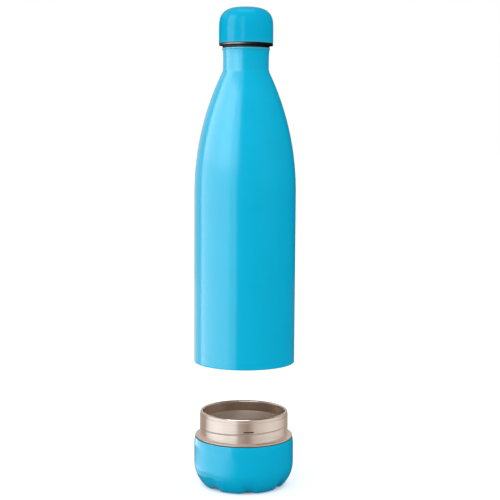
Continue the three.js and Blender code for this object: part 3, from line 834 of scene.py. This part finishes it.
def make_foot():
    around = FOOT_COUNT * LOBE_STEPS
    draw_low = base_height - BASE_DRAW_HEIGHT
    edge = arc(base_top_radius - TOP_EDGE_ROUND, base_height - TOP_EDGE_ROUND, TOP_EDGE_ROUND, 90, 0,
               TOP_EDGE_STEPS)
    vertices = []
    faces = []
    face_materials = []
    rows = 0
    outer_rows = 0
    for s in range(around):
        turn = 2 * math.pi * s / around
        share = foot_share(turn)
        outer = (
            [(base_top_radius - BASE_WALL, base_height)]
            + edge
            + draw_in(base_radius)[1:]
            + dense((base_radius, draw_low), (base_radius, BASE_CORNER_HEIGHT), BASE_SIDE_STEP)[1:-1]
            + foot_meridian(share, 0, *OUTER_STEPS)[:-1]
        )
        inner = (
            foot_meridian(share, BASE_WALL, *INNER_STEPS)[:-1][::-1]
            + draw_in(base_radius - BASE_WALL)[:0:-1]
        )
        loop = outer + inner
        outer_rows = len(outer)
        rows = len(loop)
        angle = math.radians(FRONT + FIRST_FOOT_ANGLE) + turn
        vertices += [(r * math.cos(angle), r * math.sin(angle), z) for r, z in loop]
    for s in range(around):
        t = (s + 1) % around
        for k in range(rows):
            up = (k + 1) % rows
            if k == outer_rows - 1:
                continue
            faces.append([rows * s + k, rows * s + up, rows * t + up, rows * t + k])
            face_materials.append(0 if k < outer_rows else 1)
    centre = len(vertices)
    vertices += [(0, 0, DOME_HEIGHT), (0, 0, BASE_WALL + DOME_HEIGHT)]
    for s in range(around):
        t = (s + 1) % around
        faces.append([rows * s + outer_rows - 1, centre, rows * t + outer_rows - 1])
        face_materials.append(0)
        faces.append([rows * t + outer_rows, centre + 1, rows * s + outer_rows])
        face_materials.append(1)
    new_piece("foot_outer", vertices, faces, [body_paint, inner_steel], face_materials,
              "base", ["base_shell"])


def make_edge_ring():
    bottom, top = low("base_edge_ring"), high("base_edge_ring")
    outer = radius_of("base_edge_ring")
    inner = base_top_radius - BASE_WALL + JOINT_OVERLAP
    edge = outer - JOINT_INSET
    revolve("foot_joint", [(rounded([
        (inner, bottom), (edge, bottom, 0.1), (edge, top, 0.1), (inner, top),
    ]), grey_silicone)], "base", ["base_edge_ring"])


# Collar. Its ridge shows as a soft swelling with a thin dark line along its lower side, which is painted
# shade under the ridge, and a short dark mark above the line, a little right of the front, which is
# painted shade at the thread's end, where the wall has no dent
COLLAR_SWELLING = 0.07
COLLAR_STEP = 0.18
LINE_DROP = 0.35
LINE_HALF_HEIGHT = 0.27
LINE_END_MARGIN = 8
# Where the short mark of painted shade lies: its drop below the rim, its half height and its angles
THREAD_END_SHADE_DROP = 9.6
THREAD_END_SHADE_HALF_HEIGHT = 0.5
THREAD_END_SHADE_START = -92.5
THREAD_END_SHADE_END = -77


def ridge_height(angle):
    """The height of the collar's ridge at an angle, or nothing where it has ended."""
    for n in range(THREAD_STARTS):
        middle = FRONT + 360 / THREAD_STARTS * n
        off = (angle - middle + 180) % 360 - 180
        if abs(off) < COLLAR_RIDGE_SPAN / 2 - LINE_END_MARGIN:
            return rim_height - THREAD_DROP + THREAD_LEAD * off / 360
    return None


# Faces that get the painted shadow line under the ridge
def on_ridge_shade(angle, r, z):
    height = ridge_height(angle)
    return (on_wall(r, COLLAR_RADIUS) and height is not None
            and abs(z - height + LINE_DROP) < LINE_HALF_HEIGHT)


def on_thread_end_shade(angle, r, z):
    return (on_wall(r, COLLAR_RADIUS) and THREAD_END_SHADE_START < angle < THREAD_END_SHADE_END
            and abs(z - rim_height + THREAD_END_SHADE_DROP) < THREAD_END_SHADE_HALF_HEIGHT)


def make_collar():
    ledge = radius_of("base_collar")
    bottom = low("base_collar")
    spigot = base_top_radius - BASE_WALL - CLEARANCE
    spigot_inner = spigot - COLLAR_WALL
    inner = COLLAR_RADIUS - COLLAR_WALL
    under = ledge_top - COLLAR_WALL
    wall_start = ledge_top + LEDGE_REACH
    half = COLLAR_RIDGE_SPAN / 2
    ridge_low = rim_height - THREAD_DROP - THREAD_LEAD * half / 360
    outside = rounded([
        (spigot_inner, bottom), (spigot, bottom, 0.2), (spigot, ledge_bottom),
        (ledge, ledge_bottom, 0.15), (ledge, ledge_top, LEDGE_ROUND),
        (COLLAR_RADIUS, ledge_top, LEDGE_FILLET), (COLLAR_RADIUS, wall_start)], closed=False)
    wall = dense((COLLAR_RADIUS, wall_start), (COLLAR_RADIUS, collar_top), COLLAR_STEP)
    inside = rounded([
        (COLLAR_RADIUS, collar_top), (inner, collar_top), (inner, under, 1.0),
        (spigot_inner, under, 0.8), (spigot_inner, bottom + SPIGOT_BEVEL)], closed=False)

    def relief(angle, r, z):
        if not on_wall(r, COLLAR_RADIUS) or z < wall_start:
            return 0
        return COLLAR_SWELLING * foot_ridges(angle, z, FRONT - half, COLLAR_RIDGE_SPAN, ridge_low)

    revolve("collar", [(outside + wall, collar_steel), (inside, inner_steel)],
            "base", ["base_collar"], around=AROUND_COLLAR, relief=relief,
            markings=[(thread_end_shade_steel, on_thread_end_shade), (ridge_shade_steel, on_ridge_shade)])


# Cup
CUP_WALL = 0.5
CUP_ROUND = 5
CUP_ROUND_STEPS = 12
CUP_SIDE_START = 8
CUP_SIDE_STEP = 6
CUP_GAP = 2.5
BEAD_START = 0.6
BEAD_STEPS = 10


def make_cup():
    bottom = low("stash_cup")
    bead = radius_of("stash_cup")
    inner = COLLAR_RADIUS - CUP_GAP
    curl = (bead - inner) / 2
    bead_low = rim_height - 2 * curl
    outer = inner + CUP_WALL
    floor = bottom + CUP_WALL
    side_low = bottom + CUP_SIDE_START
    outside = rounded([(0, bottom), (outer, bottom, CUP_ROUND + CUP_WALL), (outer, collar_top),
                       (bead, collar_top)], closed=False, steps=CUP_ROUND_STEPS)
    rim = rounded([(bead, collar_top), (bead, collar_top + BEAD_START), (bead, rim_height, curl),
                   (inner, rim_height, curl), (inner, bead_low)], closed=False, steps=BEAD_STEPS)
    inside = (
        dense((inner, bead_low), (inner, side_low), CUP_SIDE_STEP)[1:]
        + rounded([(inner, side_low), (inner, floor, CUP_ROUND), (0, floor)],
                  closed=False, steps=CUP_ROUND_STEPS)[1:]
    )
    revolve("cup", [(outside, inner_steel), (rim, collar_steel), (inside, cup_steel)],
            "base", ["stash_cup"])


make_bottle_shell()
make_liner()
make_liner_floor()
make_bulkhead()
make_ceiling_cover()
make_gasket()
make_thread_ring()
make_cap()
make_stopper()
make_stopper_plate()
make_cap_seal()
make_foot()
make_edge_ring()
make_collar()
make_cup()

# Inner pieces that keep their solids
KEPT = {
    "cup_support": black_plastic,
    "vacuum_seal": getter_metal,
    "getter_clip": dull_steel,
    "getter_pill": getter_metal,
    "stopper_foam": foam,
    "cap_core": white_plastic,
}
for node_name, material in KEPT.items():
    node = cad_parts[node_name]
    node.data.materials.clear()
    node.data.materials.append(material)


# Floor, surroundings and lamps. Lengths from here on are metres.
WORLD_LIGHT = 0.88
WORLD_COLOUR = (0.97, 0.985, 1, 1)
FLOOR_REACH = 12
FLOOR_COLOUR = (0.55, 0.57, 0.60, 1)
FLOOR_GLOW = 0.6
FLOOR_GLOW_COLOUR = (0.96, 0.98, 1, 1)
# Between these radii the floor's glow fades out towards the foot: painted shade under the object
FLOOR_SHADE_RADIUS = 0.024
FLOOR_WHITE_RADIUS = 0.034
LAMP_TARGET = 0.18
SCREEN_STEPS = 96
STUDIO_RADIUS = 0.48
STUDIO_TOP = 1.5
LOW_SCREEN_RADIUS = 0.16
LOW_SCREEN_TOP = 0.055
HIGH_SCREEN_RADIUS = 0.47
ABOVE_FLOOR = 0.001
FLOOR_SCREEN_HEIGHT = 0.0003
STRIP_DISTANCE = 0.42
STRIP_HEIGHT = 0.7
STRIP_SPLIT = 0.3
PANEL_SPAN = 30

# The light of a screen is a little warm: its green and its blue are these powers of its red
SCREEN_GREEN_POWER = 1.2
SCREEN_BLUE_POWER = 1.35


def camera_share(tree):
    """1 for rays from the camera and in mirrors and glass, 0 for the light that falls on things."""
    path = tree.nodes.new("ShaderNodeLightPath")
    total = path.outputs["Is Camera Ray"]
    for name in ("Is Glossy Ray", "Is Transmission Ray"):
        either = tree.nodes.new("ShaderNodeMath")
        either.operation = "MAXIMUM"
        tree.links.new(total, either.inputs[0])
        tree.links.new(path.outputs[name], either.inputs[1])
        total = either.outputs["Value"]
    return total


def make_world():
    world = bpy.data.worlds.new("studio")
    bpy.context.scene.world = world
    world.use_nodes = True
    tree = world.node_tree
    tree.nodes.clear()
    output = tree.nodes.new("ShaderNodeOutputWorld")
    seen = tree.nodes.new("ShaderNodeBackground")
    seen.inputs["Color"].default_value = (1, 1, 1, 1)
    seen.inputs["Strength"].default_value = 1
    lit = tree.nodes.new("ShaderNodeBackground")
    lit.inputs["Color"].default_value = WORLD_COLOUR
    lit.inputs["Strength"].default_value = WORLD_LIGHT
    mix = tree.nodes.new("ShaderNodeMixShader")
    tree.links.new(camera_share(tree), mix.inputs["Fac"])
    tree.links.new(lit.outputs["Background"], mix.inputs[1])
    tree.links.new(seen.outputs["Background"], mix.inputs[2])
    tree.links.new(mix.outputs["Shader"], output.inputs["Surface"])


def bare_material(name):
    """A material with nothing but its output."""
    material = bpy.data.materials.new(name)
    material.use_nodes = True
    tree = material.node_tree
    tree.nodes.clear()
    return material, tree, tree.nodes.new("ShaderNodeOutputMaterial")


def make_floor():
    """A floor that is white to the camera and in gloss, except under the object itself, where its glow
    fades out as painted shade on top of the floor's real shadow.
    """
    mesh = bpy.data.meshes.new("floor")
    mesh.from_pydata([(-FLOOR_REACH, -FLOOR_REACH, 0), (FLOOR_REACH, -FLOOR_REACH, 0),
                      (FLOOR_REACH, FLOOR_REACH, 0), (-FLOOR_REACH, FLOOR_REACH, 0)], [], [(0, 1, 2, 3)])
    floor = bpy.data.objects.new("floor", mesh)
    bpy.context.scene.collection.objects.link(floor)
    material, tree, output = bare_material("floor_white")
    matte = tree.nodes.new("ShaderNodeBsdfDiffuse")
    matte.inputs["Color"].default_value = FLOOR_COLOUR
    glow = tree.nodes.new("ShaderNodeEmission")
    glow.inputs["Color"].default_value = FLOOR_GLOW_COLOUR
    place = tree.nodes.new("ShaderNodeTexCoord")
    distance = tree.nodes.new("ShaderNodeVectorMath")
    distance.operation = "LENGTH"
    tree.links.new(place.outputs["Object"], distance.inputs[0])
    away = ranged(tree, distance.outputs["Value"], 0, FLOOR_GLOW, FLOOR_SHADE_RADIUS, FLOOR_WHITE_RADIUS)
    strength = tree.nodes.new("ShaderNodeMath")
    strength.operation = "MULTIPLY"
    tree.links.new(camera_share(tree), strength.inputs[0])
    tree.links.new(away, strength.inputs[1])
    tree.links.new(strength.outputs["Value"], glow.inputs["Strength"])
    total = tree.nodes.new("ShaderNodeAddShader")
    tree.links.new(matte.outputs["BSDF"], total.inputs[0])
    tree.links.new(glow.outputs["Emission"], total.inputs[1])
    tree.links.new(total.outputs["Shader"], output.inputs["Surface"])
    mesh.materials.append(material)


def lamp(name, azimuth, distance, height, width, tall, radiance, seen_in, colour=(1, 1, 1),
         target=LAMP_TARGET):
    """A rectangular lamp round the object, seen in diffuse or in glossy light. Azimuth 0 is in front,
    and positive is to the right. It faces the axis at the target's height."""
    data = bpy.data.lights.new(name, "AREA")
    data.shape = "RECTANGLE"
    data.size = width
    data.size_y = tall
    data.energy = radiance * math.pi * width * tall
    data.color = colour
    light = bpy.data.objects.new(name, data)
    side = math.radians(azimuth)
    place = (distance * math.sin(side), -distance * math.cos(side), height)
    light.location = place
    down = math.atan2(height - target, distance)
    light.rotation_euler = (math.pi / 2 - down, 0, side)
    light.visible_camera = False
    light.visible_diffuse = seen_in == "diffuse"
    light.visible_glossy = seen_in == "glossy"
    bpy.context.scene.collection.objects.link(light)
    return light


def only_for(light, pieces):
    """The lamp or screen lights these pieces only."""
    group = bpy.data.collections.new(light.name + "_receivers")
    for piece in pieces:
        group.objects.link(piece)
    light.light_linking.receiver_collection = group


def screen(name, inner, outer, bands):
    """A ring round the object from one (radius, height) to another, seen only in its gloss. bands
    lists how light it is as (azimuth, radiance) from -90 to 270, with 0 in front, 90 to the right."""
    vertices = []
    for i in range(SCREEN_STEPS):
        angle = 2 * math.pi * i / SCREEN_STEPS
        for radius, height in (inner, outer):
            vertices.append((radius * math.cos(angle), radius * math.sin(angle), height))
    faces = []
    for i in range(SCREEN_STEPS):
        ahead = (i + 1) % SCREEN_STEPS
        faces.append((2 * i, 2 * ahead, 2 * ahead + 1, 2 * i + 1))
    mesh = bpy.data.meshes.new(name)
    mesh.from_pydata(vertices, [], faces)
    material, tree, output = bare_material(name)
    place = tree.nodes.new("ShaderNodeTexCoord")
    around = tree.nodes.new("ShaderNodeTexGradient")
    around.gradient_type = "RADIAL"
    ramp = tree.nodes.new("ShaderNodeValToRGB")
    stops = ramp.color_ramp.elements
    for azimuth, _ in bands[1:-1]:
        stops.new((azimuth + 90) / 360)
    for stop, (_, light) in zip(stops, bands):
        stop.color = (light, light ** SCREEN_GREEN_POWER, light ** SCREEN_BLUE_POWER, 1)
    glow = tree.nodes.new("ShaderNodeEmission")
    tree.links.new(place.outputs["Object"], around.inputs["Vector"])
    tree.links.new(around.outputs["Fac"], ramp.inputs["Fac"])
    tree.links.new(ramp.outputs["Color"], glow.inputs["Color"])
    tree.links.new(glow.outputs["Emission"], output.inputs["Surface"])
    mesh.materials.append(material)
    ring = bpy.data.objects.new(name, mesh)
    bpy.context.scene.collection.objects.link(ring)
    ring.visible_camera = False
    ring.visible_diffuse = False
    ring.visible_transmission = False
    ring.visible_shadow = False
    ring.visible_volume_scatter = False
    return ring


def strip(name, start, end, radiance, pieces, bottom=0, top=STRIP_HEIGHT, distance=STRIP_DISTANCE):
    """An upright strip of flat panels from one azimuth to another, seen only in some pieces' gloss."""
    panels = math.ceil((end - start) / PANEL_SPAN)
    span = (end - start) / panels
    width = 2 * distance * math.tan(math.radians(span) / 2)
    middle = (bottom + top) / 2
    for n in range(panels):
        panel = lamp(
            f"{name}_{n}", azimuth=start + span * (n + 0.5), distance=distance, height=middle,
            width=width, tall=top - bottom, radiance=radiance, seen_in="glossy", target=middle)
        only_for(panel, pieces)


make_world()
make_floor()

painted = [bpy.data.objects[name] for name in ("bottle_outer", "inner_bottle", "foot_outer")]
cap = [bpy.data.objects["cap_outer"]]
stopper = [bpy.data.objects[name] for name in ("stopper", "seal_ring")]
cup = [bpy.data.objects["cup"]]
steel = [bpy.data.objects["collar"]] + cup

# The studio as the bottle shows it: dark, and half light at the left behind
screen("studio_screen", (STUDIO_RADIUS, ABOVE_FLOOR), (STUDIO_RADIUS, STUDIO_TOP), [
    (-90, 0.4), (-30, 0.02), (110, 0.01), (150, 0.08), (200, 0.3), (270, 0.4)])

# The low screen as the collar shows it: light at the left, a dark middle, half light at the right
only_for(screen("collar_screen", (LOW_SCREEN_RADIUS, ABOVE_FLOOR), (LOW_SCREEN_RADIUS, LOW_SCREEN_TOP), [
    (-90, 0.98), (-70, 1.08), (-55, 1.04), (-42, 0.98), (-26, 0.94), (-19, 0.88), (-11, 0.5), (2, 0.4),
    (9, 0.34), (16, 0.42), (25, 0.6), (42, 0.7), (62, 0.8), (90, 0.76), (112, 0.6), (126, 0.42),
    (188, 0.48), (215, 0.5), (232, 0.42), (250, 0.42), (260, 0.76), (270, 0.98)]), steel)

# The floor as the paint shows it: dark under the foot, then light at the left
for name, inner, outer, share in (
        ("under_foot", 0.02, 0.045, 0.04),
        ("beside_foot", 0.045, 0.061, 0.45),
        ("floor_screen", 0.061, LOW_SCREEN_RADIUS, 1)):
    only_for(screen(name, (inner, FLOOR_SCREEN_HEIGHT), (outer, FLOOR_SCREEN_HEIGHT), [
        (-90, 2.9 * share), (-46, 3.1 * share), (-30, 2.0 * share), (-12, 0.02), (190, 0.02),
        (230, 0.5 * share), (270, 2.9 * share)]), painted)
only_for(screen("far_floor_screen", (LOW_SCREEN_RADIUS, FLOOR_SCREEN_HEIGHT),
                (STUDIO_RADIUS, FLOOR_SCREEN_HEIGHT), [
    (-90, 1.6), (-36, 1.6), (-16, 0.02), (190, 0.02), (236, 0.3), (270, 1.6)]), painted)

# What the ledge and the rim show from above
only_for(screen("high_screen", (HIGH_SCREEN_RADIUS, 0.1), (HIGH_SCREEN_RADIUS, 0.5), [
    (-90, 0.7), (-30, 0.85), (0, 0.7), (90, 0.5), (180, 0.6), (270, 0.7)]), steel)

# The light that falls on everything
lamp("fill_left", azimuth=-50, distance=1.1, height=0.7, width=1.4, tall=1.4, radiance=1.08,
     seen_in="diffuse")
lamp("fill_right", azimuth=55, distance=1.2, height=0.6, width=1.2, tall=1.4, radiance=0.42,
     seen_in="diffuse", colour=(0.95, 0.98, 1))

# The bright bands in the paint, each from one azimuth to another
strip("front_strip", -33, -18, 2.8, painted)
strip("side_strip", -112, -33, 4.6, painted)
strip("back_strip", -160, -112, 0.9, painted)
strip("high_side_strip", -112, -62, 1.5, painted, bottom=STRIP_SPLIT, top=1)
strip("high_middle_strip", -62, -34, 3.0, painted, bottom=STRIP_SPLIT, top=1)
strip("high_front_strip", -34, -13, 1.8, painted, bottom=STRIP_SPLIT, top=1)
strip("low_strip", -140, -24, 3.0, painted, top=0.056, distance=0.15)
strip("cap_side_strip", -84, -49, 2.9, cap)
strip("cap_front_strip", -20, -7, 1.5, cap)
strip("seal_strip", -95, -16, 4, stopper)

# The floor as the steel shows it, and the bright side of the cup's inside
only_for(lamp("floor_light", azimuth=0, distance=0, height=ABOVE_FLOOR, width=0.31, tall=0.31,
              radiance=0.42, seen_in="glossy", colour=(1, 0.93, 0.87), target=1), steel)
only_for(lamp("cup_light", azimuth=-15, distance=0.3, height=0.22, width=0.35, tall=0.3,
              radiance=1.6, seen_in="glossy", target=0.04), cup)

bpy.context.scene.view_settings.view_transform = "Standard"
